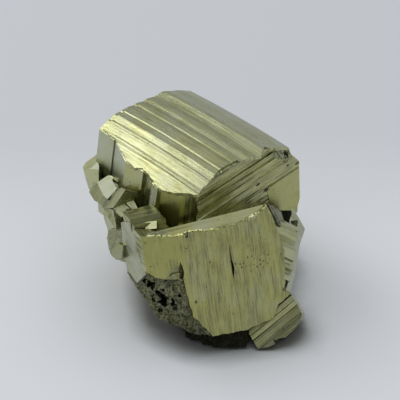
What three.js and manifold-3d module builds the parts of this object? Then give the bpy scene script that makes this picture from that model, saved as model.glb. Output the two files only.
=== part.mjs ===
// Pyrite specimen: a cluster of intergrown cubic crystals, millimetres, +Z up.
// It grew as one piece, so every crystal is joined into one solid that rests on flat facets.
import * as THREE from "three";
import { ConvexGeometry } from "three/addons/geometries/ConvexGeometry.js";
import { mergeVertices } from "three/addons/utils/BufferGeometryUtils.js";
import Module from "manifold-3d";

const wasm = await Module();
wasm.setup();

// ---- Upper crystal: u runs right along its top's striae, v runs to the back, z is up ----
const UPPER = { at: [-0.8, -15.3, 44.5], turn: [2.8, -0.8, -46.1] };
const UPPER_LOW = -28;
const UPPER_HIGH = 6;
const LIP_LOW = -2.6; // the top plate overhangs the walls a little
const LIP_PLAN = [
  [0.6, 0], [0.4, 5], [-0.6, 9], [-0.6, 14], [0.6, 18], [1.8, 22], [0.4, 25], [-2.6, 28],
  [-1.8, 33], [-3.5, 36], [-38.8, 36], [-39, 1], [-33, 0.3], [-25.5, -2.7], [-21.5, -3.1],
  [-19.3, -2.2], [-16, -2.7], [-11, -4.3], [-7.8, -3.6],
];
const BODY_TOP = -1;
const BODY_PLAN = [
  [1.4, 0.2], [1.4, 39.5], [0, 41], [-12, 41], [-12, 37.5], [-33, 37.5], [-33, 34],
  [-40.4, 34], [-40.6, 0.7], [-33.8, 0.3], [-33.4, 1.4], [-33, 0.2], [-25.6, -2.5],
  [-18.6, -2.2], [-18.3, -1.1], [-14, -1.7], [-13.8, -3.3], [-11, -3.7], [-10.7, -2.5],
  [-3, -1], [-2.7, 0.3],
];
// The top's curve from front to back, as [v, height].
const TOP_CURVE = [
  [-6, -2.8], [-2.5, -0.9], [0, 0.5], [1.2, 1.6], [3.5, 3.1], [8, 3.6], [13, 3.4], [19, 3],
  [24, 2.1], [27.4, 1.7], [31, 0.4], [34.5, -1.4], [36.5, -4.6], [39.5, -8.5], [41, -13],
  [41, -22.5], [39.5, -26.5], [37, -28], [-6, -28],
];
// The striated end face steps outwards as it goes down, as [height, u].
const END_STEPS = [
  [5, 0.2], [-1.2, 0.2], [-1.2, -0.7], [-3, -0.7], [-3, 0.1], [-4.9, 0.1], [-4.9, 0.7],
  [-6.8, 0.7], [-6.8, 0.2], [-8.6, 0.2], [-8.6, 1], [-11, 1], [-11, 0.6], [-30, 0.6],
  [-30, -42], [5, -42],
];

// ---- Front crystal: a runs along its ridge, b up its big face, c out of that face ----
const FRONT = { at: [-16.3, -24.7, 37.2], turn: [74, 19.9, 7.4] };
const FACE_OUT = 2.1;
const FRONT_DEEP = -20;
const BACKING_OUT = -1;
const FACE_PLAN = [
  [0, 1], [36.3, 1], [37, -3], [38.2, -7], [39.6, -13.9], [38.7, -24.7], [39.9, -27.2],
  [36, -29.5], [35.1, -32.1], [33.8, -33.5], [25.9, -34.4], [16, -33.4], [11.4, -25.8],
  [10, -15], [5.6, -13.4], [2.4, -11.9], [0.2, -9.8],
];
const BACKING_PLAN = [
  [0.4, 0], [36.4, 0.4], [37.8, -5], [38.8, -12], [38.4, -14], [37, -20], [36, -30], [14, -31],
  [9, -24], [9, -14], [0.6, -9.6],
];
const RIDGE_CURVE = [
  [0, 0], [-2.4, -1.6], [-5, -5], [-6, -20], [-36, -20], [-36, 2.1], [-2.1, 2.1],
];
// Layers stacked behind the ridge's left end, as [a, b, c] ranges.
const LAYERS = [
  [[0.3, 9.8], [-10, -1.4], [-13, -0.5]],
  [[0.5, 9.4], [-3, 0.9], [-13, -4.6]],
  [[0, 8.6], [-3, 2.5], [-13, -6.2]],
  [[-1.2, 4.4], [-3, 4.4], [-13, -8.6]],
];

// ---- Lower right crystal: its banded face in its own axes ----
const BANDED = { at: [16, -27.7, 0.6], turn: [50, -8, 39] };
const BANDED_PLAN = [
  [0, 0], [2.5, -1.4], [7.8, -2.3], [10.8, -2.2], [14.1, -1.3], [15.6, -0.3], [16.4, 3.2],
  [16.8, 8], [1, 8], [0.9, 6.8],
];
const BANDED_DEEP = [-10, 1];
const BANDS = [
  [-3, 0], [1.2, 0], [1.2, -0.8], [3.4, -0.8], [3.4, -0.2], [5.2, -0.2], [5.2, -1.1],
  [11, -1.1], [11, -10], [-3, -10],
];

// ---- Right crystal: its stepped front face looks forwards and up ----
const RIGHT = { at: [27.8, -3.8, 24.3], turn: [41, 23, -19] };
const RIGHT_PLAN = [
  [-11, 0.8], [-11, -20], [-1, -20], [1.8, -18.1], [1.9, -14.1], [1.2, -8.8], [0.5, -4.8],
  [0, 0], [-0.4, 0.8],
];
const RIGHT_DEEP = [-4, 2];
const RIGHT_STEPS = [
  [0.9, -1.2], [-0.6, 0.3], [-9.5, 0.1], [-9.9, -0.5], [-10.6, -0.5], [-12.2, 0.4],
  [-12.7, -0.4], [-15.6, 0.3], [-16, -0.7], [-21, -1], [-21, -5], [0.9, -5],
];

// ---- Lesser crystals, each a block about its own centre ----
const BLOCKS = [
  { at: [20.8, -3.5, 15.9], size: [9.8, 19, 9], turn: [50, -21, -22] },
  { at: [-28.8, 12.5, 35.6], size: [8, 3.4, 3.6], turn: [94, 17, 11] },
  { at: [-26.5, 4.6, 32.6], size: [4.4, 5, 7], turn: [43, 25, 39] },
  { at: [-22, -4.9, 32.3], size: [7.4, 6.4, 3.5], turn: [53, 45, -41] },
  { at: [-22, -4.5, 29], size: [6, 6, 8], turn: [60, 20, 10] },
  { at: [-17.4, 6.5, 27], size: [13, 13, 14], turn: [6, 14, -38] },
  { at: [12, 15, 14], size: [19, 19, 20], turn: [12, -18, 28] },
  { at: [-3, 24, 19], size: [17, 17, 18], turn: [20, 14, -33] },
  { at: [-17, 11, 20], size: [15, 17, 17], turn: [-14, 22, 12] },
  { at: [3, 20, 8], size: [15, 14, 15], turn: [8, 10, 50] },
  { at: [13, 24, 25], size: [10, 9, 11], turn: [25, -20, 15] },
  { at: [-13, 26, 28], size: [8, 8, 9], turn: [-20, 30, 40] },
  { at: [19, 4, 11], size: [12, 14, 13], turn: [-15, 20, -30] },
];
const CORE = [
  [-13, 3, 0], [-9, -6, 0], [0, -11, 0], [9, -9, 0], [15, 1, 0], [11, 13, 0], [-4, 15, 0],
  [-18, 0, 12], [-14, -9, 12], [2, -20, 9], [16, -13, 10], [20, 4, 12], [8, 22, 12],
  [-15, 16, 12], [-18, 0, 28], [-12, -10, 28], [10, -12, 26], [19, 6, 28], [2, 24, 28],
  [-20, 14, 28],
];
const BROKEN_SIDE = [
  [-15.8, -25.9, 26.8], [-12, -27.1, 25], [-5.1, -26.8, 23.8], [-4.3, -26.5, 22.5],
  [-1.9, -26.5, 12.8], [3.3, -28.5, 5.6], [-20.6, -17.1, 19.3], [-18.9, -18.8, 18.6],
  [-17.3, -19.9, 15.2], [-14.7, -20.6, 10.8], [-11.7, -20.8, 5.3], [-5.5, -23.3, 5.2],
  [-0.8, -25.7, 3.6], [-12, 0, 30], [-14, 0, 6], [10, 0, 6], [10, 0, 30],
];
const LEFT_KNOB = [
  [-25.8, -7.2, 26.4], [-26.1, -8.8, 24.1], [-25.6, -10.4, 21.8], [-24.7, -12.3, 20.9],
  [-22.1, -13.8, 20.4], [-20, -16.5, 21.9], [-20, -15.2, 25.5], [-22, -11.1, 29.6],
  [-14, -4, 18], [-14, -4, 30], [-20, 0, 24],
];
const UNDERSIDE = [
  [-4.6, -21.5, 0], [-3.4, -23.9, 0], [0, -25.2, 0], [6.1, -28.2, 0], [12, -27.8, 0],
  [13.6, -27, 1], [13.8, -24, 6], [1.4, -26.4, 5], [-4.2, -22.6, 3], [-5.5, -21.5, 5],
  [-4, -10, 0], [14, -10, 0], [14, -10, 10], [-6, -10, 10],
];

// Ranges that reach past a crystal's outlines, so that a prism spans all of it.
const ALONG_UPPER = [-45, 10];
const ACROSS_UPPER = [-10, 45];
const ALONG_FRONT = [-2, 44];
const ALONG_BANDED = [-1, 18];
const ALONG_RIGHT = [-12, 3];
const FLOOR_WIDE = 200;
const FLOOR_DEEP = 100;

// A closed solid from a three.js geometry's positions alone.
function solid(geometry) {
  const bare = new THREE.BufferGeometry();
  bare.setAttribute("position", geometry.getAttribute("position").clone());
  bare.setIndex(geometry.index);
  const merged = mergeVertices(bare, 1e-4);
  return new wasm.Manifold(
    new wasm.Mesh({
      numProp: 3,
      vertProperties: merged.getAttribute("position").array,
      triVerts: new Uint32Array(merged.index.array),
    }),
  );
}

// A prism along one of a crystal's three axes; its outline is drawn on the next two in turn.
function prism(axis, outline, [low, high]) {
  const points = outline.map(([x, y]) => new THREE.Vector2(x, y));
  const shape = new THREE.Shape(points);
  const geometry = new THREE.ExtrudeGeometry(shape, { depth: high - low, bevelEnabled: false });
  geometry.translate(0, 0, low);
  const ways = [0, 1, 2].map((i) => new THREE.Vector3().setComponent((axis + 1 + i) % 3, 1));
  return solid(geometry.applyMatrix4(new THREE.Matrix4().makeBasis(...ways)));
}

function placed(made, { at, turn }) {
  const angles = turn.map(THREE.MathUtils.degToRad);
  const matrix = new THREE.Matrix4().makeRotationFromEuler(new THREE.Euler(...angles));
  return made.transform(matrix.setPosition(...at).elements);
}

function upperCrystal() {
  const lip = prism(2, LIP_PLAN, [LIP_LOW, UPPER_HIGH]);
  const body = prism(2, BODY_PLAN, [UPPER_LOW, BODY_TOP]);
  const stepped = body.intersect(prism(1, END_STEPS, ACROSS_UPPER));
  return placed(lip.add(stepped).intersect(prism(0, TOP_CURVE, ALONG_UPPER)), UPPER);
}

function frontCrystal() {
  const face = prism(2, FACE_PLAN, [FRONT_DEEP, FACE_OUT]);
  const backing = prism(2, BACKING_PLAN, [FRONT_DEEP, BACKING_OUT]);
  const slab = face.add(backing).intersect(prism(0, RIDGE_CURVE, ALONG_FRONT));
  return placed(LAYERS.map(layer).reduce((all, one) => all.add(one), slab), FRONT);
}

function layer(ranges) {
  const size = ranges.map(([low, high]) => high - low);
  const middle = ranges.map(([low, high]) => (low + high) / 2);
  return solid(new THREE.BoxGeometry(...size).translate(...middle));
}

function bandedCrystal() {
  return placed(prism(2, BANDED_PLAN, BANDED_DEEP).intersect(prism(0, BANDS, ALONG_BANDED)), BANDED);
}

function rightCrystal() {
  return placed(prism(2, RIGHT_PLAN, RIGHT_DEEP).intersect(prism(0, RIGHT_STEPS, ALONG_RIGHT)), RIGHT);
}

function block({ at, size, turn }) {
  return placed(solid(new THREE.BoxGeometry(...size)), { at, turn });
}

function hull(points) {
  return solid(new ConvexGeometry(points.map((p) => new THREE.Vector3(...p))));
}

const floorBox = new THREE.BoxGeometry(FLOOR_WIDE, FLOOR_WIDE, FLOOR_DEEP);
const floor = solid(floorBox.translate(0, 0, -FLOOR_DEEP / 2));
const cluster = [upperCrystal(), frontCrystal(), bandedCrystal(), rightCrystal()]
  .concat([BROKEN_SIDE, LEFT_KNOB, UNDERSIDE, CORE].map(hull))
  .concat(BLOCKS.map(block))
  .reduce((joined, crystal) => joined.add(crystal))
  .subtract(floor);

const mesh = cluster.getMesh();
const geometry = new THREE.BufferGeometry();
geometry.setAttribute("position", new THREE.BufferAttribute(mesh.vertProperties, 3));
geometry.setIndex(new THREE.BufferAttribute(mesh.triVerts, 1));
geometry.computeBoundingBox();
const middle = geometry.boundingBox.getCenter(new THREE.Vector3());
geometry.translate(-middle.x, -middle.y, -geometry.boundingBox.min.z);

const pyrite = new THREE.Mesh(
  geometry,
  new THREE.MeshStandardMaterial({ color: 0x9c9a6a, metalness: 1, roughness: 0.3 }),
);
pyrite.name = "pyrite_cluster";

const specimen = new THREE.Group();
specimen.add(pyrite);
export default specimen;
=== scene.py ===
import math

import bmesh
import bpy
import numpy as np
from mathutils import Euler, Matrix, Vector, noise


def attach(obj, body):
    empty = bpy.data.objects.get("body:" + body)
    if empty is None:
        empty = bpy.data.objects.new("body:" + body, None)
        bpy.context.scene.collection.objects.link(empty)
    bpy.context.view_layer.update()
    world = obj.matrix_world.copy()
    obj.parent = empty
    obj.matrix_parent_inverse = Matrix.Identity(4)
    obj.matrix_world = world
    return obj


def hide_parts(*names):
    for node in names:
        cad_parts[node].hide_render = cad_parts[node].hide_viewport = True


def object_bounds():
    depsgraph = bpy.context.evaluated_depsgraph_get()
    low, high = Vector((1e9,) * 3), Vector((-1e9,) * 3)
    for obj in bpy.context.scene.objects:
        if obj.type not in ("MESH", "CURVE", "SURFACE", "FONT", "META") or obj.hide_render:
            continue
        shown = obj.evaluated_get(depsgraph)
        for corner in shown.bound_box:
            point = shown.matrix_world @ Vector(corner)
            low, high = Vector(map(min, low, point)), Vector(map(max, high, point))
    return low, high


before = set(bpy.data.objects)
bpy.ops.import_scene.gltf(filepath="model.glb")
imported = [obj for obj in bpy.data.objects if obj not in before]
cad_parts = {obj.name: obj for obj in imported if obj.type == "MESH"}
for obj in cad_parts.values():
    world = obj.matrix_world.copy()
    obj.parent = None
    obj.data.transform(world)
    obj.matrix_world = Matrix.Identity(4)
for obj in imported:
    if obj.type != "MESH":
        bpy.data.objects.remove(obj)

# Crystals are worked out in millimetres about a growth centre, and set in the CAD box at the end.
CAD_LOW, CAD_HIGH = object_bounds()
MM = 0.001
GROWTH_CENTRE = Vector((1.707, -4.951, 0))  # from the middle of the box's base
TO_FRONT = Vector((0, -0.82, 0.57))  # and upwards, as the hollows in the broken side are stretched
ALONG_STRIAE = Vector((0, 1, 0))  # on the upper crystal's end and on the front crystal's big face

# Kinds of surface, as (smooth, granular, brassy) shares.
STRIATED = (0, 0, 0.6)
GREY_STRIATED = (0, 0.12, 0.15)
BRASSY_STRIATED = (0, 0.03, 0.9)
BANDED_STRIATED = (0.1, 0, 0.6)
STREAKED = (0.2, 0, 0.4)
RIBBED = (-0.4, 0, 0.75)
SMOOTH = (1, 0, 0.6)
BRIGHT = (1, 0, 0.75)
BEVELLED = (1, 0, 0.65)
SILVERY = (1, 0, 0.1)
PALE = (1, 0, 0.25)
STEPPED = (0.9, 0, 0.5)
GREENISH = (0.9, 0, 0.7)
MIRROR = (0.95, 0, 1)
SATIN_BRASS = (0.85, 0, 1)
SATIN_GREY = (0.7, 0, 0.35)
GREY_TOP = (0.5, 0, 0.4)
WORN = (0.3, 0, 0.8)
OLIVE = (0.8, 0.1, 0.9)
CHIPPED = (0.7, 0.12, 0.3)
DULL_SILVER = (0.6, 0.15, 0.15)
BROKEN = (0.2, 0.35, 0.7)
ROUGH = (0, 0.4, 0.5)
COARSE = (0, 0.7, 0.4)
GRANULAR = (0, 1, 0.5)
BURIED_GREY = (0, 0.9, 0.2)
# Flat painted shade: a granular share above 1 colours the surface wholly dark.
FLAT_PAINTED_SHADE = (0, 1.9, 0.3)

# ---- Upper crystal: u runs right along its top's striae, v runs to the back, z is up ----
UPPER = {"at": (-0.8, -15.3, 44.5), "turn": (2.8, -0.8, -46.1)}
UPPER_ALONG = (-45, 10)  # how far its cuts reach along u, along v and in height
UPPER_ACROSS = (-10, 46)
UPPER_HEIGHTS = (-28, 6)
PLATE_HEIGHTS = (-8, 6)
PLATE_STEP = 0.5  # the body lies this far under the top plate's surface
PLATE_THICK = 0.9
END_LEAN = math.radians(3)  # the end's striae rise this much towards the back
# A smooth facet on the end, as (v, height).
END_FACET = [
    (25.9, -12.2), (27.6, -18.5), (33.2, -25.3), (37, -27.4), (38.9, -26.4), (40, -23),
    (39.3, -11.7),
]
END_FACET_ALONG = (-8, 0.95)
CAMBER = 0.0016  # the top falls off by this times the square of the distance from its middle
CAMBER_MIDDLE = -22
# The far corner of the end is broken off within a hull of (u, v, height), and the end has small
# chips, as places and radii.
CHIPPED_CORNER = [
    (1.8, 25.4, 2.2), (-0.7, 26, 0.8), (-1.4, 29.4, 0.6), (-1.7, 32.6, -1.4), (-1.4, 35, -4),
    (-0.6, 35.6, -7), (2, 36.4, -8), (2.2, 33.4, -8.2), (0, 32.6, -6.6), (-0.3, 29.4, -3.2),
    (1.8, 28, -1.8), (1.8, 31, 3), (1.8, 36, -1),
]
END_CHIPS = [
    ((0.7, 25.7, -12.6), 0.5), ((1.2, 27.4, -1.2), 0.7), ((0.9, 22.5, -8.8), 0.4),
    ((1, 38.6, -9.6), 0.6), ((0.9, 34.4, -8.3), 0.3), ((0.9, 31, -2.4), 0.4),
]
# Plans from above, as (u, v): the plate's jagged lip, and the body with its stepped left walls.
LIP_PLAN = [
    (0.6, 0), (0.4, 5), (-0.6, 9), (-0.6, 14), (0.6, 18), (1.7, 22.6), (0.2, 25.2), (-0.7, 26.4),
    (0.2, 27.9), (0.9, 29.5), (0.5, 31), (0.9, 32.5), (0.7, 35), (-0.6, 36), (-38.8, 36), (-39, 1),
    (-33, 0.3), (-25.5, -2.7), (-21.5, -3.1), (-19.3, -2.2), (-16, -2.7), (-11, -4.3), (-7.8, -3.6),
]
BODY_PLAN = [
    (1.4, 0.2), (1.4, 38.9), (0, 40.1), (-12, 41), (-12, 37.5), (-33, 37.5), (-33, 34),
    (-40.4, 34), (-40.6, 0.7), (-33.8, 0.3), (-33.4, 1.4), (-33, 0.2), (-25.6, -2.5),
    (-18.6, -2.2), (-18.3, -1.1), (-14, -1.7), (-13.8, -3.3), (-11, -3.7), (-10.7, -2.5),
    (-3, -1), (-2.7, 0.3),
]
# How far the left walls lean outwards per millimetre down, at places along u, and how far down they do.
WALL_LEAN = ((-4, -2), (0.22, 0.1))
WALL_LEAN_DOWN = 12
WALL_LEAN_BACK = 8  # the lean fades away this far behind them
# The left walls' kinds of surface from their far end, each with the place along u that it lasts to.
WALL_KINDS = [
    (-33.2, SATIN_GREY), (-25.6, SILVERY), (-18.6, GREENISH), (-11, STREAKED), (-3, MIRROR),
]
# The top from front to back, as (v, height): bands of facets that lean to and fro.
TOP_CURVE = [
    (-6, -2.8), (-2.5, -0.9), (0, 0.5), (1.2, 1.6), (2.4, 2.3), (2.5, 2.15), (4, 2.75),
    (4.6, 2.8), (6.4, 3.6), (8.4, 3.6), (8.7, 3.5), (9.1, 3.7), (12.2, 3.65), (13.6, 3.3),
    (14.1, 3.45), (15.3, 3.4), (17.1, 2.95), (18.5, 3.15), (19.3, 3.1), (21.6, 2.45), (22.7, 2.45),
    (24.6, 2.8), (26, 2.4), (27.4, 1.75), (31, 0.4), (34.5, -1.4), (36.5, -4.6),
    (39.5, -8.5), (41, -13), (41, -22.5), (39.5, -26.5), (37, -28), (-6, -28),
]
BACK_FACET_FROM = 26  # along v
# The striated end face steps outwards as it goes down, as (height, u).
END_STEPS = [
    (5, 0.2), (-1.2, 0.2), (-1.3, -0.4), (-3, -0.3), (-3.1, 0.2), (-4.9, 0.3), (-5, 0.7),
    (-6.8, 0.6), (-6.9, 0.3), (-8.6, 0.5), (-8.7, 0.9), (-11, 1), (-11.1, 0.8), (-30, 0.75),
    (-30, -42), (5, -42),
]

# ---- Front crystal: a runs along its ridge, b up its big face, c out of that face ----
FRONT = {"at": (-16.3, -24.7, 37.2), "turn": (74, 19.9, 7.4)}
FACE_OUT = 2.1
FRONT_ALONG = (-2, 44)  # how far its cuts reach along a, and along b
FRONT_UP = (-36, 3)
FRONT_DEEP = -20  # how far back the backing reaches along c, and the plate before it
PLATE_DEEP = -4
CRACK_DEEP = 1.2
CUT_OVER = 1  # cuts start this far out of the face
# Outlines of the face and of what backs it, as (a, b).
FACE_PLAN = [
    (0, 0.7), (4, -0.4), (7.5, -1.5), (10.9, -2), (13, -1.4), (16.6, -1.9), (18.5, -2.6),
    (20.8, -2.9), (26.5, -2.7), (31, -2.1), (34, -1), (36, 0), (37, -3),
    (38.2, -7), (39.2, -11), (39.6, -13.9), (38.7, -24.7), (39.9, -27.2), (38, -28.5),
    (36, -29.5), (35.1, -32.1), (33.8, -33.5), (30.8, -33.6), (25.9, -34.4), (16, -33.4),
    (11.4, -25.8), (10, -15), (5.6, -13.4), (2.4, -11.9), (0.2, -9.8),
]
BACKING_PLAN = [
    (0.4, 0), (36.4, 0.4), (37.8, -5), (38.8, -12), (38.4, -14), (37, -20), (36, -30), (14, -31),
    (9, -24), (9, -14), (0.6, -9.6),
]
FACE_SHEET = [(-6, -3), (FACE_OUT, -3), (FACE_OUT, 44), (-6, 44)]  # as (c, a)
# The bevel from the face's edge over the ridge and down the back, as (b, c).
RIDGE_CURVE = [
    (0, 0), (-2.4, -1.6), (-5, -5), (-6, -20), (-36, -20), (-36, 1), (-3.6, 1.75), (-2.6, 1.7),
]
# Outlines of the long crack and of the slot under the smooth part, as (a, b).
CRACKS = [
    [(24.1, -8.3), (24.25, -12), (24.7, -15), (24.6, -16), (24.2, -18.7), (23.95, -15.5), (23.9, -12)],
    [(9.8, -9.4), (10.3, -11), (10.5, -12.5), (10, -15), (9.2, -14.3), (9.3, -12)],
]
SMOOTH_TO = 11.3  # the big face is smoother left of this place along a
SIDE_BROKEN = (14, -12.5)  # the walls are broken below and left of this place, (a, b)
# The bevel's kinds of surface from its left end, each with the place along a that it lasts to. The rough,
# speckled left end is also darkened as painted shade for the darker reflection there.
BEVEL_KINDS = [(8, ROUGH), (15, WORN)]
BEVEL_BROKEN = -12  # it is broken below this place along b
FACE_PITS = [((12.7, -22.1, 2.15), 0.35), ((18.1, -11.6, 2.15), 0.2), ((22, -26, 2.15), 0.15)]
# Shallow broken ledges in the big face, as outlines and depths.
LEDGES = [
    ([(6.6, -10.9), (8.4, -10.4), (9.9, -10.2), (10.2, -15.2), (6.2, -14.6), (4.6, -13.6),
      (5.9, -12.4)], 0.3),
    ([(7.2, -11.5), (9.9, -11.1), (10.2, -12.6), (7.6, -12.4), (6.2, -12.9)], 0.7),
    ([(6.9, -13.3), (10, -13.2), (10.2, -15.2), (6.7, -14.9)], 0.65),
    ([(11.9, -1.6), (12.4, -3.2), (13, -2.8), (12.9, -1.2)], 0.5),
]
PITTED_MIDDLE = (31, -15)  # small pits are scattered about this place on the face
PITTED_SPREAD = (2.4, 1.1)
PIT_COUNT = 22
RIDGE_POINTS = 12  # the first points of FACE_PLAN lie along its ridge
CHIPS_ALONG = np.arange(1, 34, 1.15)
CHIP_SHIFT = 0.3  # how far a chip may lie from its place along the ridge
CHIP_UP = 0.15
CHIP_OUT = (-0.1, 0.2)
CHIP_RADII = (0.22, 0.5)
PIT_OUT = 0.05
PIT_RADII = (0.1, 0.24)
PIT_GAP = 1
# Runs of grains along the ridge, as (first, last, thickness), and the way that they face.
GRAIN_RUNS = [
    (2, 11.6, 0.55), (12.4, 17, 0.42), (18, 22, 0.5), (22.5, 30, 0.32), (30, 33.5, 0.75),
    (33.5, 36, 0.4),
]
GRAIN_STEP = 0.45
GRAIN_NORMAL = Vector((-0.48, 0.76, 0.36))
GRAIN_TILT = 0.2
GRAIN_SIZES = (0.6, 1.4)
GRAIN_UP = (-0.15, 0.1)
GRAIN_SUNK = 0.25
# Thin layers behind the left end of the ridge, as their reaches along a, b and c.
LAYERS = [
    ((0.3, 9.8), (-10, -1.4), (-13, -0.5)),
    ((0.5, 9.4), (-3, 0.9), (-13, -4.6)),
    ((0, 8.6), (-3, 2.5), (-13, -6.2)),
    ((0.8, 2.6), (-3, 3), (-13, -10.5)),
]

# ---- Lower right crystal, with three bands along x ----
BANDED = {"at": (16, -27.7, 0.6), "turn": (50, -8, 39)}
BANDED_ALONG = (-1, 18)
BANDED_HEIGHTS = (-10, 1)
# Its outline from in front, as (x, y), and its bands, as (y, out).
BANDED_PLAN = [
    (0, 0), (2.5, -1.4), (4.6, -2), (5, -0.4), (5.3, -1.3), (6.2, -1.4), (7.8, -2.3), (10.8, -2.2),
    (14.1, -1.3), (15.6, -0.3), (16.4, 3.2), (16.8, 8), (1, 8), (0.9, 6.8),
]
BANDS = [
    (-3, -0.3), (0.3, 0), (0.5, -0.35), (2.5, -0.3), (2.8, -0.75), (4, -1.1), (4.2, -0.8),
    (5.6, -0.9), (5.9, -1.3), (8, -1.7), (8.3, -2.1), (11, -2.9), (11, -10), (-3, -10),
]

# ---- Lesser crystals, each a block about its own centre ----
BLOCKS = [
    {"at": (-22, -4.5, 29), "size": (6, 6, 8), "turn": (60, 20, 10)},
    {"at": (-17.4, 6.5, 27), "size": (13, 13, 14), "turn": (6, 14, -38)},
    {"at": (12, 15, 14), "size": (19, 19, 20), "turn": (12, -18, 28)},
    {"at": (-3, 24, 19), "size": (17, 17, 18), "turn": (20, 14, -33)},
    {"at": (-17, 11, 20), "size": (15, 17, 17), "turn": (-14, 22, 12)},
    {"at": (3, 20, 8), "size": (15, 14, 15), "turn": (8, 10, 50)},
    {"at": (13, 24, 25), "size": (10, 9, 11), "turn": (25, -20, 15)},
    {"at": (-13, 26, 28), "size": (8, 8, 9), "turn": (-20, 30, 40)},
    {"at": (19, 4, 11), "size": (12, 14, 13), "turn": (-15, 20, -30)},
    {"at": (17.8, -7.2, 16.0), "size": (11, 18.5, 9), "turn": (41, 23, -19)},
]
# Lesser crystals shown by one flat facet each: an outline on the facet, and how deep it goes.
FACETS = [
    {"at": (-30.7, 9.5, 34.6), "turn": (30, -12, 30), "deep": 3, "zone": PALE,
     "outline": [(-1.3, 0.1), (-1.3, -2.4), (0.2, -4.0), (2.7, 0.7), (2.6, 1.7), (-0.8, 1.3)]},
    {"at": (-25.9, 0.4, 35.6), "turn": (30, -12, 30), "deep": 4, "zone": PALE,
     "outline": [(-2.1, -1.7), (-1.6, -3.3), (2.1, -2.1), (2.3, 2.5), (1.8, 3.1), (-1.7, 2.9)]},
    {"at": (-28.6, 1.9, 32.5), "turn": (39, -45, 47), "deep": 6, "zone": STRIATED,
     "outline": [(-1.8, 3.6), (-2.4, 0.0), (-1.6, -3.4), (-1.2, -4.7), (1.2, -4.7), (1.9, 3.0),
                 (0.1, 3.7)]},
    {"at": (-26.2, -2.3, 31.7), "turn": (59, -30, 57), "deep": 6, "zone": STRIATED,
     "outline": [(-0.9, 1.8), (-1.6, -0.2), (-1.5, -1.8), (6.2, -3.1), (7.0, -1.8), (2.3, 0.7), (0.7, 2.4)]},
    {"at": (-23.3, 3.4, 34.6), "turn": (32, -17, -17), "deep": 3, "zone": SMOOTH,
     "outline": [(-0.2, -1.3), (2.2, -1.8), (1.6, 0.9), (-0.5, 1.5), (-2.4, 0.7)]},
    {"at": (-23.7, -4.6, 35.4), "turn": (29, -58, 22), "deep": 4, "zone": STRIATED,
     "outline": [(-1.5, -2.5), (5.8, -2.5), (4.2, -0.1), (-4.7, 0.7)]},
    {"at": (-19.8, -5.6, 35.7), "turn": (37, -9, -57), "deep": 4, "zone": STRIATED,
     "outline": [(3.3, -0.6), (4.3, 0.8), (2.5, 1.0), (-0.2, 1.1), (-2.9, 0.6), (-1.8, -1.7)]},
    {"at": (-21.7, -6.7, 34.2), "turn": (35, -14, -51), "deep": 4, "zone": STRIATED,
     "outline": [(0.6, -2.3), (2.6, -2.0), (3.0, 0.2), (3.0, 1.5), (-2.1, 0.7), (-1.4, -2.0)]},
    {"at": (-23.8, -6.8, 30.5), "turn": (60, -37, 55), "deep": 4, "zone": STRIATED,
     "outline": [(-1.8, 1.0), (-2.3, -2.4), (-1.2, -3.9), (0.6, -2.6), (1.4, 1.8), (-0.2, 3.4)]},
    {"at": (-19.7, -13.9, 36.0), "turn": (38, -12, -14), "deep": 4, "zone": SMOOTH,
     "outline": [(-0.3, -1.5), (0.5, -1.8), (2.1, 0.7), (0.7, 1.6), (-1.5, 0.2)]},
    {"at": (-22.5, -18.4, 27.9), "turn": (57, -33, 67), "deep": 3, "zone": SMOOTH,
     "outline": [(-2.2, 0.9), (-2.6, -0.8), (-1.3, -2.4), (1.9, -1.4), (1.9, 0.4), (-0.7, 1.5)]},
    {"at": (-23.6, 5.0, 35.2), "turn": (9, -24, -34), "deep": 2, "zone": SMOOTH,
     "outline": [(-1.3, -1.4), (3.4, -0.8), (2.2, 0.7), (-1.0, 0.8), (-3.7, 0.8)]},
    {"at": (-16.2, -21.7, 35.3), "turn": (72, -51, -45), "deep": 3, "zone": GREY_STRIATED,
     "outline": [(-3.0, -7.9), (0.6, -10.4), (4.1, -12.1), (9.0, -10.7), (9.3, -5.2), (5.7, -4.9),
                 (-0.4, 0.4), (-4.7, -0.9), (-6.8, -4.6)]},
    {"at": (28.0, -0.9, 22.1), "turn": (43, 59, -36), "deep": 7, "zone": DULL_SILVER,
     "outline": [(-0.4, -1.6), (0.8, -5.6), (2.2, -9.8), (3.8, -15.3), (4.1, -20.0), (6.4, -18.6),
                 (5.6, -11.6), (4.5, -8.8), (3.0, -3.4), (2.7, 2.7), (-1.9, 1.7)]},
    {"at": (-30.9, 13.0, 35.3), "turn": (6, -7, 36), "deep": 5, "zone": SMOOTH,
     "outline": [(-4.4, -3.7), (-4.6, -7.1), (-3.2, -8.6), (3.8, 2.6), (2.4, 2.1), (-1.0, 1.6), (-2.9, 0.3)]},
    {"at": (27.6, 2.1, 22.4), "turn": (20, 30, -42), "deep": 4, "zone": SILVERY,
     "outline": [(-3.8, 0.5), (-2.9, -1.2), (-1, -2.5), (1.8, -1.6), (3, 0.7), (-0.5, 1.7), (-3.8, 2.5)]},
    {"at": (-13.4, -19.0, 36.6), "turn": (29, -16, -18), "deep": 3, "zone": SMOOTH,
     "outline": [(-0.7, -1.5), (2.2, -0.5), (1.5, 1.6), (-2.0, 0.5)]},
    {"at": (21.1, -4.8, 29.8), "turn": (57, 53, -47), "deep": 4, "zone": BURIED_GREY,
     "outline": [(-4.8, -0.9), (0.1, -0.7), (4.7, -0.9), (6.7, 0), (3.9, 1.9), (1, 2.5), (-2.5, 1)]},
    # This facet is coloured in flat painted shade.
    {"at": (24.4, 1.1, 25.2), "turn": (50, 6, 0), "deep": 3, "zone": FLAT_PAINTED_SHADE,
     "outline": [(-1.3, 0.0), (-0.6, -1.8), (0.8, -1.6), (1.6, 0.6), (1.5, 1.6), (-1.6, 1.6)]},
]
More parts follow.
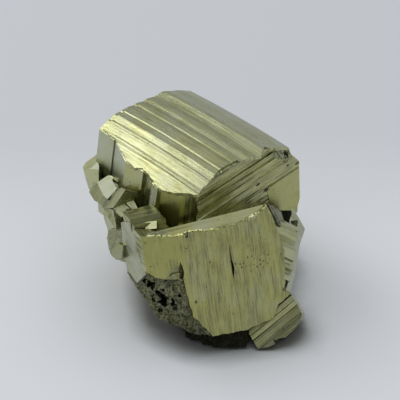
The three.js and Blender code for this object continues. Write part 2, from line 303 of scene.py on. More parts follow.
# The right crystal's stepped face: striae run along x, and its steps are (up, out).
RIGHT = {"at": (27.8, -3.8, 24.3), "turn": (41, 23, -19)}
RIGHT_ALONG = (-12, 3)
RIGHT_HEIGHTS = (-4, 2)
RIGHT_PLAN = [
    (-11, 0.8), (-11, -20), (-1, -20), (1.8, -18.1), (1.9, -14.1), (1.2, -8.8), (0.5, -4.8),
    (0, 0), (-0.4, 0.8),
]
RIGHT_STEPS = [
    (0.9, -1.2), (-0.6, 0.3), (-0.9, 0.3), (-1.4, -0.25), (-2.5, 0.05), (-2.7, -0.1), (-3.9, 0.1),
    (-4.4, -0.45), (-4.9, -0.5), (-6.3, 0.3), (-6.6, -0.1), (-9.5, 0.15), (-9.9, -0.5),
    (-10.6, -0.5), (-12.2, 0.45), (-12.7, -0.4), (-13.3, -0.5), (-15.6, 0.4), (-16, -0.7),
    (-21, -1), (-21, -5), (0.9, -5),
]
# Corners of the rough bodies that fill the gaps between crystals, and the places of small hollows.
CORE = [
    (-13, 3, 0), (-9, -6, 0), (0, -11, 0), (9, -9, 0), (15, 1, 0), (11, 13, 0), (-4, 15, 0),
    (-18, 0, 12), (-14, -9, 12), (2, -20, 9), (16, -13, 10), (20, 4, 12), (8, 22, 12),
    (-15, 16, 12), (-18, 0, 28), (-12, -10, 28), (10, -12, 26), (19, 6, 28), (2, 24, 28),
    (-20, 14, 28),
]
BROKEN_SIDE = [
    (-15.8, -25.9, 26.8), (-12, -27.1, 25), (-5.1, -26.8, 23.8), (-4.3, -26.5, 22.5),
    (-1.9, -26.5, 12.8), (3.3, -28.5, 5.6), (-20.6, -17.1, 19.3), (-18.9, -18.8, 18.6),
    (-17.3, -19.9, 15.2), (-14.7, -20.6, 10.8), (-11.7, -20.8, 5.3), (-5.5, -23.3, 5.2),
    (-0.8, -25.7, 3.6), (-12, 0, 30), (-14, 0, 6), (10, 0, 6), (10, 0, 30),
]
# The underside below the front crystal is a dark body coloured in flat painted shade, where the shadow under
# the cluster falls.
UNDERSIDE = [
    (-4.6, -21.5, 0.2), (-3.4, -23.9, 0.2), (0, -25.2, 0.2), (6.1, -28.2, 0.2), (12, -27.8, 0.2),
    (13.6, -27, 1), (13.8, -24, 6), (1.4, -26.4, 5), (-4.2, -22.6, 3), (-5.5, -21.5, 5),
    (-4, -10, 0.2), (14, -10, 0.2), (14, -10, 10), (-6, -10, 10),
]
SIDE_HOLLOWS = [
    ((-10.1, -24.9, 15.9), 2.5), ((-13.2, -24.5, 20.9), 1.6), ((-6.8, -26, 13.5), 0.9),
    ((-8.7, -24.2, 17.9), 1.1), ((-12.2, -23.4, 15.2), 1.5), ((-14.8, -24.3, 21.9), 0.9),
    ((-7.7, -24.9, 15.2), 1.2), ((-9.7, -25, 19.6), 0.8), ((-4.8, -26.4, 14.6), 0.5),
    ((-5.4, -26.4, 18.6), 0.6), ((-11, -22.4, 10), 0.9),
]
LEFT_KNOB = [
    (-25.8, -7.2, 26.4), (-26.1, -8.8, 24.1), (-25.6, -10.4, 21.8), (-24.7, -12.3, 20.9),
    (-22.1, -13.8, 20.4), (-20, -16.5, 21.9), (-20, -15.2, 25.5), (-22, -11.1, 29.6),
    (-14, -4, 18), (-14, -4, 30), (-20, 0, 24),
]
GROUND_SIZE = 200
SMALLEST_EDGE = 0.001
MARGIN = 1  # prisms that cut each other reach this far past what they leave
BLOCK_MARGIN = 0.4
FACET_RELIEF = (0.01, 0.07)  # of a smooth facet, and how much more a striated one has
# The relief of rough bodies: how fine its two noises are, and how far inwards it lies.
ROUGH_COARSE = 0.9
ROUGH_FINE = 2.1
ROUGH_FINE_SHARE = 0.5
ROUGH_INWARDS = 0.6
HOLLOW_SWELL = 0.7  # hollows swell and shrink by up to this share
# Seeds of the first of each kind of crystal that there are many of; each block takes three.
LAYER_SEED = 9
BLOCK_SEED = 40
FACET_SEED = 80
FACET_FRONT_SEED = 50  # a facet's front is this many seeds past its plan

# A prism is drawn along z, and these turn it to lie along a crystal's own x, y or z.
AXIS_TURNS = (
    Matrix(((0, 0, 1, 0), (1, 0, 0, 0), (0, 1, 0, 0), (0, 0, 0, 1))),
    Matrix(((0, 1, 0, 0), (0, 0, 1, 0), (1, 0, 0, 0), (0, 0, 0, 1))),
    Matrix.Identity(4),
)
ALONG_X, ALONG_Y, ALONG_Z = range(3)

# Growth striae: broad ribs, ribs and hairlines, as (width, length, share of the depth).
STRIAE = [(1.9, 30, 0.9), (0.7, 22, 0.75), (0.3, 14, 0.5)]
GRAIN_SHIFT = 7.3  # the grain of each crystal starts at another place, by this times its seed


# ---------------------------------------------------------------- relief
def streaks(across, along, width, length, seed):
    """Random facets from -1 to 1, width apart across the striae and slowly changing along them."""
    rng = np.random.default_rng(seed)
    columns = int(np.ptp(across) / width) + 3
    rows = int(np.ptp(along) / length) + 3
    table = rng.uniform(-1, 1, (rows, columns))
    x = (across - across.min()) / width
    y = (along - along.min()) / length
    i, j = x.astype(int), y.astype(int)
    fx, fy = x - i, y - j
    fy = fy * fy * (3 - 2 * fy)
    near = table[j, i] * (1 - fx) + table[j, i + 1] * fx
    far = table[j + 1, i] * (1 - fx) + table[j + 1, i + 1] * fx
    return near * (1 - fy) + far * fy


def striae(across, along, depth, seed):
    """All the sizes of growth striae together, running along the crystal's edge."""
    return depth * sum(share * streaks(across, along, width, length, seed + number)
                       for number, (width, length, share) in enumerate(STRIAE))


# ---------------------------------------------------------------- meshes
def in_scene(name, data):
    """An object in the scene that shows data: a mesh, a camera or a light."""
    obj = bpy.data.objects.new(name, data)
    bpy.context.scene.collection.objects.link(obj)
    return obj


def made_object(name, bm):
    """An object in the scene from bm, which is used up."""
    mesh = bpy.data.meshes.new(name)
    bm.to_mesh(mesh)
    bm.free()
    return in_scene(name, mesh)


def points_of(mesh, field="co"):
    """The places or the normals of a mesh's points, one in each row."""
    values = np.empty(len(mesh.vertices) * 3, np.float32)
    mesh.vertices.foreach_get(field, values)
    return values.reshape(-1, 3).astype(float)


def striated_prism(axis, outline, low, high, seed, depth=0.05, fine=0.22, coarse=1.2, zone=STRIATED):
    """A closed prism along one of a crystal's axes, its walls striated along that axis.

    Its mesh is fine across the striae and coarse along them; zone is a kind, or gives one for a point.
    """
    bm = bmesh.new()
    corners = [bm.verts.new((x, y, low)) for x, y in outline]
    sides = [bm.edges.new(pair) for pair in zip(corners, corners[1:] + corners[:1])]
    for side in sides:
        bmesh.ops.subdivide_edges(bm, edges=[side], cuts=int(side.calc_length() / fine))
    base = bmesh.ops.contextual_create(bm, geom=bm.edges[:])["faces"][0]
    across = bm.verts.layers.float.new("across")
    reach = 0
    for loop in base.loops:
        loop.vert[across] = reach
        reach += loop.edge.calc_length()
    raised = bmesh.ops.extrude_face_region(bm, geom=[base], use_keep_orig=True)["geom"]
    top = [v for v in raised if isinstance(v, bmesh.types.BMVert)]
    length = high - low
    bmesh.ops.translate(bm, verts=top, vec=(0, 0, length))
    uprights = [e for e in bm.edges if abs(e.verts[0].co.z - e.verts[1].co.z) > 0.5 * length]
    bmesh.ops.subdivide_edges(bm, edges=uprights, cuts=int(length / coarse), use_grid_fill=True)
    bmesh.ops.recalc_face_normals(bm, faces=bm.faces)
    obj = made_object("prism", bm)
    mesh = obj.data
    place = points_of(mesh)
    out = points_of(mesh, field="normal")
    out[:, 2] = 0
    out /= np.maximum(np.linalg.norm(out, axis=1), 1e-6)[:, None]
    reach = np.empty(len(place), np.float32)
    mesh.attributes["across"].data.foreach_get("value", reach)
    mesh.attributes.remove(mesh.attributes["across"])
    place += out * striae(reach.astype(float), place[:, 2], depth, seed)[:, None]
    mesh.vertices.foreach_set("co", place.astype(np.float32).ravel())
    if callable(zone):
        zone = np.array([zone(point) for point in place])
    marked(mesh, place + seed * GRAIN_SHIFT, zone)
    mesh.transform(AXIS_TURNS[axis])
    return obj


def marked(mesh, grain_place, zone):
    """Keeps, on each face corner, its place along the crystal's grain and its kind of surface."""
    corner = np.empty(len(mesh.loops), np.int32)
    mesh.loops.foreach_get("vertex_index", corner)
    grain = mesh.attributes.new("grain", "FLOAT_VECTOR", "CORNER")
    grain.data.foreach_set("vector", grain_place[corner].astype(np.float32).ravel())
    kind = mesh.attributes.new("zone", "FLOAT_VECTOR", "CORNER")
    kinds = np.asarray(zone, np.float32)
    kinds = kinds[corner] if kinds.ndim == 2 else np.tile(kinds, (len(corner), 1))
    kind.data.foreach_set("vector", kinds.ravel())


def placed(obj, at, turn):
    """obj turned about its own x, then y, then z axis, as a crystal's frame is."""
    turned = Euler([math.radians(angle) for angle in turn], "ZYX").to_matrix().to_4x4()
    obj.data.transform(Matrix.Translation(at) @ turned)
    return obj


def applied(obj):
    """obj's new mesh, with its modifiers worked into it."""
    bpy.context.view_layer.update()
    done = obj.evaluated_get(bpy.context.evaluated_depsgraph_get())
    mesh = bpy.data.meshes.new_from_object(done)
    obj.modifiers.clear()
    obj.data = mesh
    return mesh


def combined(base, other, operation):
    """base after one Boolean step with other, which is used up."""
    step = base.modifiers.new("step", "BOOLEAN")
    step.operation = operation
    step.solver = "MANIFOLD"
    step.object = other
    applied(base)
    bpy.data.objects.remove(other)
    return base


def moved_points(obj, place):
    """obj with its points at the rows of place."""
    obj.data.vertices.foreach_set("co", place.astype(np.float32).ravel())
    return obj


def kind_at(place, kinds, last):
    """The kind of surface at a place, where each kind lasts up to its own limit."""
    for limit, kind in kinds:
        if place < limit:
            return kind
    return last


# ---------------------------------------------------------------- crystals
def crossed(first, second, at, turn):
    """What two prisms of one crystal have in common, set in its place."""
    return placed(combined(first, second, "INTERSECT"), at, turn)


def facet_crystal(seed, at, turn, deep, zone, outline):
    """A small crystal with one shown facet, striated along its own x."""
    along = [x for x, y in outline]
    up = [y for x, y in outline]
    low, high = min(up) - MARGIN, max(up) + MARGIN
    left, right = min(along) - MARGIN, max(along) + MARGIN
    relief = FACET_RELIEF[0] + FACET_RELIEF[1] * (1 - zone[0])
    plan = striated_prism(ALONG_Z, outline, -deep - MARGIN, MARGIN, seed, depth=0.03, fine=0.6,
                          coarse=2, zone=zone)
    sheet = [(low, -deep), (high, -deep), (high, 0), (low, 0)]
    front = striated_prism(ALONG_X, sheet, left, right, seed + FACET_FRONT_SEED, depth=relief,
                           fine=0.35, coarse=2, zone=zone)
    return crossed(plan, front, at, turn)


def right_crystal():
    """The right crystal: its front goes down in lighter and darker steps."""
    plan = striated_prism(ALONG_Z, RIGHT_PLAN, *RIGHT_HEIGHTS, seed=24)
    steps = striated_prism(ALONG_X, RIGHT_STEPS, *RIGHT_ALONG, seed=25, zone=STEPPED)
    return crossed(plan, steps, **RIGHT)


def banded_crystal():
    """The lower right crystal: three bands that step back as they go down."""
    plan = striated_prism(ALONG_Z, BANDED_PLAN, *BANDED_HEIGHTS, seed=20)
    bands = striated_prism(ALONG_X, BANDS, *BANDED_ALONG, seed=21, zone=BANDED_STRIATED)
    return crossed(plan, bands, **BANDED)


def block(seed, at, size, turn):
    """A block whose three pairs of faces are striated along three different edges."""
    half = [extent / 2 for extent in size]
    made = None
    for axis in (ALONG_X, ALONG_Y, ALONG_Z):
        x, y, z = (half[(axis + 1 + i) % 3] for i in range(3))
        outline = [(-x, -y), (x, -y), (x, y), (-x, y)]
        z += BLOCK_MARGIN
        sides = striated_prism(axis, outline, -z, z, seed + axis, fine=0.45, coarse=3)
        made = combined(made, sides, "INTERSECT") if made else sides
    return placed(made, at, turn)


# ---- The upper crystal
def wall_zone(point):
    """The upper crystal's walls; point is (u, v, height)."""
    return kind_at(point[0], WALL_KINDS, STRIATED)


def top_zone(point):
    """The top's back facet is smooth and greyer; point is (v, height, u)."""
    return GREY_TOP if point[0] > BACK_FACET_FROM else STRIATED


def top_prism(low, high, drop):
    """The banded top, a little lower towards both of its ends."""
    top = striated_prism(ALONG_X, TOP_CURVE, low, high, seed=4, depth=0.04, zone=top_zone)
    place = points_of(top.data)
    place[:, 2] -= drop + CAMBER * (place[:, 0] - CAMBER_MIDDLE) ** 2
    return moved_points(top, place)


def upper_body():
    """The body under the top plate, with its left walls leaning outwards."""
    body = striated_prism(ALONG_Z, BODY_PLAN, *UPPER_HEIGHTS, seed=2, depth=0.03, zone=wall_zone)
    place = points_of(body.data)
    lean = np.interp(place[:, 0], *WALL_LEAN) * np.clip(1 - place[:, 1] / WALL_LEAN_BACK, 0, 1)
    place[:, 1] -= lean * np.clip(-place[:, 2], 0, WALL_LEAN_DOWN)
    body = moved_points(body, place)
    end = striated_prism(ALONG_Y, END_STEPS, *UPPER_ACROSS, seed=3, depth=0.13, zone=RIBBED)
    end.data.transform(Matrix.Rotation(END_LEAN, 4, "X"))
    body = combined(body, end, "INTERSECT")
    facet = striated_prism(ALONG_X, END_FACET, *END_FACET_ALONG, seed=12, depth=0.01, zone=OLIVE)
    body = combined(body, facet, "UNION")
    body = combined(body, top_prism(*UPPER_ALONG, PLATE_STEP), "INTERSECT")
    chipped = rough_hull(CHIPPED_CORNER, seed=14, grain_size=0.45, depth=0.9, zone=CHIPPED)
    return combined(body, chipped, "DIFFERENCE")


def top_plate():
    """The thin plate on the body, which overhangs it in a jagged lip."""
    low, high = UPPER_ALONG
    plate = striated_prism(ALONG_Z, LIP_PLAN, *PLATE_HEIGHTS, seed=1, depth=0.2, fine=0.18)
    plate = combined(plate, top_prism(low, high, 0), "INTERSECT")
    under = top_prism(low - MARGIN, high + MARGIN, PLATE_THICK)
    return combined(plate, under, "DIFFERENCE")


def upper_crystal():
    """The big upper crystal: striated top, end and walls under a thin jagged top plate."""
    whole = combined(upper_body(), top_plate(), "UNION")
    chips = hollows(END_CHIPS, seed=15, stretch=2, way=ALONG_STRIAE)
    return placed(combined(whole, chips, "DIFFERENCE"), **UPPER)


# ---- The front crystal
def face_zone(point):
    """The big face is smoother left of a line; point is (c, a, b)."""
    return SATIN_BRASS if point[1] < SMOOTH_TO else BRASSY_STRIATED


def side_zone(point):
    """The front crystal's walls are broken at the lower left; point is (a, b, c)."""
    a, b = SIDE_BROKEN
    return GRANULAR if point[0] < a and point[1] < b else STRIATED


def ridge_zone(point):
    """The bevel up to the ridge is duller to its left, with painted shade for its darker reflection there,
    and broken low down; point is (b, c, a).
    """
    return GRANULAR if point[0] < BEVEL_BROKEN else kind_at(point[2], BEVEL_KINDS, BEVELLED)


def ridge_at(a):
    """How high the ridge edge of the big face is, along b."""
    return float(np.interp(a, *np.array(FACE_PLAN[:RIDGE_POINTS]).T))


def ridge_chips():
    """Small bright chips along the ridge edge of the big face."""
    rng = np.random.default_rng(8)
    places = []
    for a in CHIPS_ALONG + rng.uniform(-CHIP_SHIFT, CHIP_SHIFT, len(CHIPS_ALONG)):
        radius = float(rng.uniform(*CHIP_RADII))
        out = FACE_OUT + float(rng.uniform(*CHIP_OUT))
        places.append(((float(a), ridge_at(a) + CHIP_UP, out), radius))
    return places


def ridge_grains():
    """Small bright grains that stand on the ridge edge of the big face, all turned much the same way."""
    rng = np.random.default_rng(11)
    bm = bmesh.new()
    for first, last, thick in GRAIN_RUNS:
        for a in np.arange(first, last, GRAIN_STEP):
            b = ridge_at(a) + float(rng.uniform(*GRAIN_UP))
            size = Vector(rng.uniform(*GRAIN_SIZES, 3)) * thick
            normal = GRAIN_NORMAL + Vector(rng.uniform(-GRAIN_TILT, GRAIN_TILT, 3))
            turn = normal.to_track_quat("Z", "X").to_matrix().to_4x4()
            place = Matrix.Translation((float(a), b, FACE_OUT - GRAIN_SUNK)) @ turn
            bmesh.ops.create_cube(bm, size=1, matrix=place @ Matrix.Diagonal((*size, 1)))
    grains = made_object("grains", bm)
    marked(grains.data, points_of(grains.data), BRIGHT)
    return grains


def scattered_pits():
    """Small pits scattered over the middle of the big face's upper right."""
    rng = np.random.default_rng(6)
    places = []
    while len(places) < PIT_COUNT:
        a, b = (float(number) for number in rng.normal(PITTED_MIDDLE, PITTED_SPREAD))
        radius = float(rng.uniform(*PIT_RADII))
        if all(math.hypot(a - x, b - y) > PIT_GAP for (x, y, out), other in places):
            places.append(((a, b, FACE_OUT + PIT_OUT), radius))
    return places


def face_plate():
    """The plate that carries the big striated face."""
    plate = striated_prism(ALONG_Z, FACE_PLAN, PLATE_DEEP, FACE_OUT + CUT_OVER, seed=5, depth=0.16,
                           zone=side_zone)
    sheet = striated_prism(ALONG_Y, FACE_SHEET, *FRONT_UP, seed=6, depth=0.05, zone=face_zone)
    return combined(plate, sheet, "INTERSECT")


def backing():
    """The body behind the plate, with the bevel that runs up to the ridge."""
    body = striated_prism(ALONG_Z, BACKING_PLAN, FRONT_DEEP, FACE_OUT, seed=7, zone=side_zone)
    bevel = striated_prism(ALONG_X, RIDGE_CURVE, *FRONT_ALONG, seed=8, zone=ridge_zone)
    return combined(body, bevel, "INTERSECT")


def face_cut(outline, deep, **finish):
    """What is cut out of the big face by one outline, down to a depth."""
    return striated_prism(ALONG_Z, outline, FACE_OUT - deep, FACE_OUT + CUT_OVER, **finish)


def layer(ranges, seed):
    """A thin layer that fills its ranges along a, b and c."""
    along, (b, b2), (c, c2) = ranges
    return striated_prism(ALONG_X, [(b, c), (b2, c), (b2, c2), (b, c2)], *along, seed)


def front_crystal():
    """The front crystal: a big striated face on a plate, and a bevel that runs up to its ridge."""
    slab = combined(face_plate(), backing(), "UNION")
    for outline in CRACKS:
        slab = combined(slab, face_cut(outline, CRACK_DEEP, seed=13, zone=GRANULAR), "DIFFERENCE")
    pits = hollows(FACE_PITS + scattered_pits(), seed=16, stretch=1.6, way=ALONG_STRIAE)
    slab = combined(slab, pits, "DIFFERENCE")
    chips = hollows(ridge_chips(), seed=18, stretch=1, zone=SMOOTH)
    slab = combined(slab, chips, "DIFFERENCE")
    for outline, deep in LEDGES:
        slab = combined(slab, face_cut(outline, deep, seed=17, fine=0.3, zone=BROKEN), "DIFFERENCE")
    slab = combined(slab, ridge_grains(), "UNION")
    for number, ranges in enumerate(LAYERS):
        slab = combined(slab, layer(ranges, LAYER_SEED + number), "UNION")
    return placed(slab, **FRONT)


# ---- Rough bodies and hollows
def rough_hull(points, seed, grain_size, depth, zone):
    """A rough broken body round some points; its hollows are up to about depth deep."""
    bm = bmesh.new()
    for point in points:
        bm.verts.new(point)
    bmesh.ops.convex_hull(bm, input=bm.verts)
    hull = made_object("hull", bm)
    even = hull.modifiers.new("even", "REMESH")
    even.mode = "VOXEL"
    even.voxel_size = grain_size
    mesh = applied(hull)
    place = points_of(mesh)
    out = points_of(mesh, field="normal")
    shift = np.array([
        noise.noise(Vector(point) * ROUGH_COARSE)
        + ROUGH_FINE_SHARE * noise.noise(Vector(point) * ROUGH_FINE) for point in place
    ])
    place += out * (depth * (shift - ROUGH_INWARDS))[:, None]
    marked(mesh, place + seed * GRAIN_SHIFT, zone)
    return moved_points(hull, place)


def hollows(places, seed, stretch, way=TO_FRONT, zone=GRANULAR):
    """Small rough hollows to cut, each stretched one way."""
    bm = bmesh.new()
    for number, (centre, radius) in enumerate(places):
        made = bmesh.ops.create_icosphere(bm, subdivisions=3 if radius > 1 else 2, radius=radius)["verts"]
        for v in made:
            swell = 1 + HOLLOW_SWELL * noise.noise(v.co * 2 / radius + Vector((seed, number, 0)))
            v.co = v.co * swell + v.co.dot(way) * (stretch - 1) * way
        bmesh.ops.translate(bm, verts=made, vec=centre)
    balls = made_object("hollows", bm)
    marked(balls.data, points_of(balls.data) + seed * GRAIN_SHIFT, zone)
    return balls


def ground():
    """All that lies below the floor's height."""
    bm = bmesh.new()
    bmesh.ops.create_cube(bm, size=GROUND_SIZE)
    bmesh.ops.translate(bm, verts=bm.verts, vec=(0, 0, -GROUND_SIZE / 2))
    return made_object("ground", bm)


# ---- The whole
def skins_of(bm):
    """The points of each separate closed skin, the smallest first."""
    unseen = set(bm.verts)
    skins = []
    for start in bm.verts:
        if start not in unseen:
            continue
        unseen.discard(start)
        skin = [start]
        for vert in skin:
            for edge in vert.link_edges:
                other = edge.other_vert(vert)
                if other in unseen:
                    unseen.discard(other)
                    skin.append(other)
        skins.append(skin)
    return sorted(skins, key=len)


def without_crumbs(obj):
    """Keeps the largest closed skin, and drops the loose crumbs and slivers that the cuts leave."""
    bm = bmesh.new()
    bm.from_mesh(obj.data)
    crumbs = [vert for skin in skins_of(bm)[:-1] for vert in skin]
    bmesh.ops.delete(bm, geom=crumbs, context="VERTS")
    bmesh.ops.dissolve_degenerate(bm, edges=bm.edges, dist=SMALLEST_EDGE)
    bm.to_mesh(obj.data)
    bm.free()
    return obj


def grown_cluster():
    """All the crystals and the rough bodies between them, grown into one closed piece."""
    whole = upper_crystal()
    for crystal in (front_crystal, banded_crystal, right_crystal):
        whole = combined(whole, crystal(), "UNION")
    for number, values in enumerate(FACETS):
        whole = combined(whole, facet_crystal(FACET_SEED + number, **values), "UNION")
    side = rough_hull(BROKEN_SIDE, seed=31, grain_size=0.42, depth=0.7, zone=GRANULAR)
    whole = combined(whole, side, "UNION")
    whole = combined(whole, hollows(SIDE_HOLLOWS, seed=35, stretch=2.2), "DIFFERENCE")
    # The underside is coloured in flat painted shade.
    under = rough_hull(UNDERSIDE, seed=36, grain_size=0.8, depth=0.8, zone=FLAT_PAINTED_SHADE)
    knob = rough_hull(LEFT_KNOB, seed=32, grain_size=0.5, depth=0.2, zone=ROUGH)
    core = rough_hull(CORE, seed=33, grain_size=1.5, depth=0.6, zone=COARSE)
    for hull in (under, knob, core):
        whole = combined(whole, hull, "UNION")
    for number, values in enumerate(BLOCKS):
        whole = combined(whole, block(BLOCK_SEED + 3 * number, **values), "UNION")
    return without_crumbs(combined(whole, ground(), "DIFFERENCE"))


# ---------------------------------------------------------------- finish
class Nodes:
    """Adds nodes to one material or world, so that each sum in it reads as one line."""

    def __init__(self, owner):
        owner.use_nodes = True
        self.tree = owner.node_tree

    def node(self, kind, **settings):
        made = self.tree.nodes.new("ShaderNode" + kind)
        for key, value in settings.items():
            setattr(made, key, value)
        return made

    def feed(self, socket, value):
        if isinstance(value, bpy.types.NodeSocket):
            self.tree.links.new(value, socket)
        else:
            socket.default_value = value

    def maths(self, operation, *values, clamp=False):
        made = self.node("Math", operation=operation, use_clamp=clamp)
        for socket, value in zip(made.inputs, values):
            self.feed(socket, value)
        return made.outputs[0]

    def scaled(self, vector, scale):
        made = self.node("VectorMath", operation="MULTIPLY")
        self.feed(made.inputs[0], vector)
        self.feed(made.inputs[1], scale)
        return made.outputs[0]

    def parts(self, vector):
        made = self.node("SeparateXYZ")
        self.feed(made.inputs[0], vector)
        return made.outputs

    def attribute(self, name):
        return self.node("Attribute", attribute_name=name).outputs["Vector"]

    def noise(self, place, scale, detail, roughness=0.6):
        made = self.node("TexNoise")
        self.feed(made.inputs["Vector"], place)
        self.feed(made.inputs["Scale"], scale)
        self.feed(made.inputs["Detail"], detail)
        self.feed(made.inputs["Roughness"], roughness)
        return made.outputs["Fac"]

    def cells(self, place, scale):
        made = self.node("TexVoronoi")
        self.feed(made.inputs["Vector"], place)
        self.feed(made.inputs["Scale"], scale)
        return made.outputs["Distance"]

    def ramp(self, value, low, high, start=0.0, end=1.0, kind="SMOOTHSTEP"):
        made = self.node("MapRange", interpolation_type=kind)
        for key, number in zip(("Value", "From Min", "From Max", "To Min", "To Max"),
                               (value, low, high, start, end)):
            self.feed(made.inputs[key], number)
        return made.outputs["Result"]

    def mix(self, share, first, second):
        made = self.node("Mix", data_type="RGBA")
        self.feed(made.inputs["Factor"], share)
        self.feed(made.inputs["A"], first)
        self.feed(made.inputs["B"], second)
        return made.outputs["Result"]

    def open_air(self, reach, samples, lean=None):
        """How open a place is, from 0 to 1, to what lies within reach of it."""
        made = self.node("AmbientOcclusion", samples=samples)
        self.feed(made.inputs["Distance"], reach)
        if lean:
            self.feed(made.inputs["Normal"], lean)
        return made.outputs["AO"]

    def bump(self, height, distance, strength, normal=None):
        made = self.node("Bump")
        self.feed(made.inputs["Height"], height)
        self.feed(made.inputs["Distance"], distance)
        self.feed(made.inputs["Strength"], strength)
        if normal:
            self.feed(made.inputs["Normal"], normal)
        return made.outputs["Normal"]


SILVER = (0.49, 0.52, 0.42, 1)
BRASS = (0.45, 0.445, 0.155, 1)
TARNISH = (0.225, 0.225, 0.12, 1)
# The dark colour of dirt, and also of the painted shade in crevices and of the flat painted shade.
DIRT_AND_SHADE = (0.03, 0.03, 0.02, 1)
STREAK = (1, 1, 1 / 30)  # scales the grain so that streaks are 30 times as long as they are wide
PATCH = (1, 1, 0.3)  # and so that patches are about 3 times as long
CREVICE_SHADE_REACH = 2.5  # in millimetres, as are the depths of the finest striae and of the grit
STRIAE_DEPTH = 0.12
GRIT_DEPTH = 0.25


def tarnished(f, grain, striated, brassy, ribs, lines):
    """The metal's colour, silvery to brassy, with tarnish in clouds and along the striae."""
    clouds = f.noise(grain, 0.16, 4)
    patches = f.noise(f.scaled(grain, PATCH), 0.4, 5, 0.65)
    tone = f.maths("ADD", brassy, f.maths("SUBTRACT", clouds, 0.5), clamp=True)
    worn = f.maths("MULTIPLY_ADD", f.maths("POWER", brassy, 4.0), 1.1, 0.75)
    stain = f.maths("MULTIPLY", f.ramp(clouds, 0.5, 0.7), f.ramp(ribs, 0.4, 0.65))
    stain = f.maths("MULTIPLY", stain, f.maths("MULTIPLY", worn, 0.6), clamp=True)
    dull = f.maths("MULTIPLY", f.ramp(lines, 0.38, 0.62, 0, 0.45), f.maths("MULTIPLY", striated, worn))
    dull = f.maths("MULTIPLY", dull, f.ramp(patches, 0.38, 0.62, 0.3, 1.5), clamp=True)
    clean = f.mix(tone, SILVER, BRASS)
    return f.mix(dull, f.mix(stain, clean, TARNISH), TARNISH)


def dirtied_and_shaded(f, colour, grain, smooth, granular, grit):
    """The colour with dirt in small pits and rough places, painted shade in crevices, and flat painted shade
    where the granular share is above 1.
    """
    fibres = f.noise(f.scaled(grain, PATCH), 1.5, 6, 0.8)
    blotch = f.noise(grain, 0.45, 6, 0.75)
    speckle = f.maths("MAXIMUM", f.ramp(fibres, 0.45, 0.62), f.ramp(blotch, 0.46, 0.62, 0, 0.8))
    pits = f.maths("MULTIPLY", f.ramp(f.cells(grain, 0.55), 0.1, 0.16, 1, 0), f.ramp(grit, 0.48, 0.6))
    # Flat painted shade: a granular share above 1 turns the colour wholly dark.
    flat_shade = f.maths("SUBTRACT", granular, 1.0, clamp=True)
    dirt_and_flat_shade = f.maths("MAXIMUM", pits, f.maths("MULTIPLY", granular, speckle), clamp=True)
    dirt_and_flat_shade = f.maths("MAXIMUM", dirt_and_flat_shade, flat_shade)
    colour = f.mix(f.maths("MULTIPLY", granular, 0.45, clamp=True), colour, TARNISH)
    colour = f.mix(dirt_and_flat_shade, colour, DIRT_AND_SHADE)
    # Painted shade in crevices: where little lies open within reach, the colour darkens towards the dark
    # colour, less on smooth faces.
    crevice_shade_keeps = f.maths("MULTIPLY_ADD", smooth, 0.4, 0.45)
    clear = f.ramp(f.open_air(CREVICE_SHADE_REACH * MM, 8), 0.1, 0.6, crevice_shade_keeps, 1)
    return f.mix(clear, DIRT_AND_SHADE, colour)


def pyrite():
    """Pale brassy metal with fine streaks along each face's own striae, tarnish, pits and dirt."""
    material = bpy.data.materials.new("pyrite")
    f = Nodes(material)
    shader = f.tree.nodes["Principled BSDF"]
    grain = f.attribute("grain")
    smooth, granular, brassy = f.parts(f.attribute("zone"))
    striated = f.maths("SUBTRACT", 1.0, smooth)
    ribs = f.noise(f.scaled(grain, STREAK), 1.7, 4)
    lines = f.noise(f.scaled(grain, STREAK), 5.0, 3)
    grit = f.noise(grain, 2.6, 5, 0.7)
    colour = tarnished(f, grain, striated, brassy, ribs, lines)
    f.feed(shader.inputs["Base Color"], dirtied_and_shaded(f, colour, grain, smooth, granular, grit))
    f.feed(shader.inputs["Metallic"], 1.0)
    rough = f.maths("MULTIPLY", f.ramp(ribs, 0.3, 0.75, 0.2, 0.38), striated)
    rough = f.maths("MULTIPLY_ADD", granular, 0.25, rough)
    rough = f.maths("MULTIPLY_ADD", smooth, 0.34, rough)
    f.feed(shader.inputs["Roughness"], rough)
    height = f.maths("MULTIPLY_ADD", lines, 0.45, ribs)
    ribbed = f.maths("MULTIPLY_ADD", striated, 0.75, 0.12)
    normal = f.bump(height, STRIAE_DEPTH * MM, ribbed)
    normal = f.bump(grit, GRIT_DEPTH * MM, f.maths("ADD", 0.05, granular), normal)
    f.feed(shader.inputs["Normal"], normal)
    return material


PAPER = (0.93, 0.94, 0.96, 1)
# Painted shade: the paper is coloured darker towards the back, where less light falls.
FAR_PAPER_SHADE = (0.76, 0.77, 0.79, 1)
PAPER_SHADE_FADE = (0, 90)  # in millimetres to the back
PAPER_ROUGHNESS = 0.6
SHADE = (0.13, 0.13, 0.12, 1)
SHADE_REACH = 11.5  # in millimetres
SHADE_FALL = (0.54, 0.94, 0.06, 1)
SHADE_LEAN = (0.02, 0.88, 0.47)  # it falls further to the front
FLOOR_HALF = 2  # in metres


def floor_paper():
    """Pale paper with a painted shadow close to what stands on it, and painted shade that darkens it towards
    the back.
    """
    material = bpy.data.materials.new("floor_paper")
    f = Nodes(material)
    shader = f.tree.nodes["Principled BSDF"]
    # Painted contact shadow, from how open the floor is near what stands on it.
    light = f.ramp(f.open_air(SHADE_REACH * MM, 16, SHADE_LEAN), *SHADE_FALL, kind="LINEAR")
    place = f.parts(f.node("TexCoord").outputs["Object"])
    # Painted shade that darkens the paper towards the back.
    far = f.ramp(place["Y"], *(limit * MM for limit in PAPER_SHADE_FADE))
    f.feed(shader.inputs["Base Color"], f.mix(light, SHADE, f.mix(far, PAPER, FAR_PAPER_SHADE)))
    f.feed(shader.inputs["Roughness"], PAPER_ROUGHNESS)
    return material


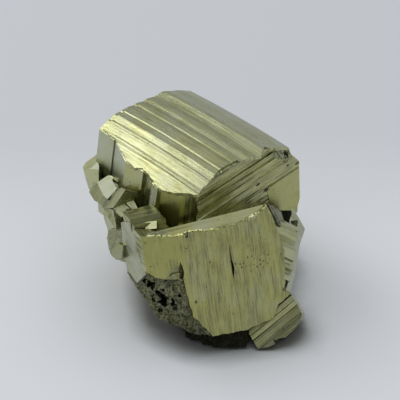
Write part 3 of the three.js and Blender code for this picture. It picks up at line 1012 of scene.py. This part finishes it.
def paper_floor():
    """A wide sheet of it at the floor's height."""
    bm = bmesh.new()
    bmesh.ops.create_grid(bm, x_segments=1, y_segments=1, size=FLOOR_HALF)
    sheet = made_object("floor", bm)
    sheet.data.materials.append(floor_paper())
    return sheet


# ---------------------------------------------------------------- camera and light, in metres
TARGET_HEIGHT = 0.0315
CAMERA_DISTANCE = 0.4
ELEVATION = math.radians(35)  # the camera looks down on the cluster's front by this much
FOCAL_LENGTH = 128.57  # in millimetres
CLIP_START = 0.01
WINDOW = {"at": (-1.36, 0.66, 1.44), "width": 1.2, "power": 8.8}
# How light the room is at each height, from the horizon (0) to overhead (1).
SKY_FADE = [(0, 0.55), (0.12, 0.47), (0.35, 0.44), (0.6, 0.64), (1, 0.78)]
SKY_TINT = (0.97, 1, 1.04)
FRONT_DIM = (-0.98, -0.35, 0.2, 1)  # from the front to the back, how much of that light there is


def camera_on(target):
    """A camera that looks down on the target from the front."""
    lens = bpy.data.cameras.new("camera")
    lens.lens = FOCAL_LENGTH
    lens.clip_start = CLIP_START
    camera = in_scene("camera", lens)
    camera.location = target + Vector((0, -math.cos(ELEVATION), math.sin(ELEVATION))) * CAMERA_DISTANCE
    camera.rotation_euler = (math.pi / 2 - ELEVATION, 0, 0)
    return camera


def window_on(target, at, width, power):
    """A square soft light that faces the target."""
    light = bpy.data.lights.new("left_window", "AREA")
    light.shape = "RECTANGLE"
    light.size = width
    light.size_y = width
    light.energy = power
    lamp = in_scene("left_window", light)
    lamp.location = at
    lamp.rotation_euler = (target - Vector(at)).to_track_quat("-Z", "Y").to_euler()


def studio():
    """A plain pale room, lightest overhead and dimmer towards the front."""
    world = bpy.data.worlds.new("studio")
    f = Nodes(world)
    background = f.tree.nodes["Background"]
    direction = f.parts(f.node("TexCoord").outputs["Generated"])
    fade = f.node("ValToRGB")
    stops = fade.color_ramp.elements
    while len(stops) < len(SKY_FADE):
        stops.new(1)
    for stop, (height, level) in zip(stops, SKY_FADE):
        stop.position = height
        stop.color = (*(level * tint for tint in SKY_TINT), 1)
    f.feed(fade.inputs["Fac"], direction["Z"])
    f.feed(background.inputs["Color"], fade.outputs["Color"])
    f.feed(background.inputs["Strength"], f.ramp(direction["Y"], *FRONT_DIM, kind="LINEAR"))
    return world


# ---------------------------------------------------------------- scene
cluster = grown_cluster()
cluster.name = "pyrite_crystals"
middle = (CAD_LOW + CAD_HIGH) / 2
base = Vector((middle.x, middle.y, CAD_LOW.z)) + GROWTH_CENTRE * MM
cluster.data.transform(Matrix.Translation(base) @ Matrix.Scale(MM, 4))
cluster.data.materials.clear()
cluster.data.materials.append(pyrite())
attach(cluster, "root")
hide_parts("pyrite_cluster")

floor = paper_floor()

target = base + Vector((0, 0, TARGET_HEIGHT))
bpy.context.scene.camera = camera_on(target)
window_on(target, **WINDOW)
bpy.context.scene.world = studio()
bpy.context.scene.view_settings.view_transform = "Standard"
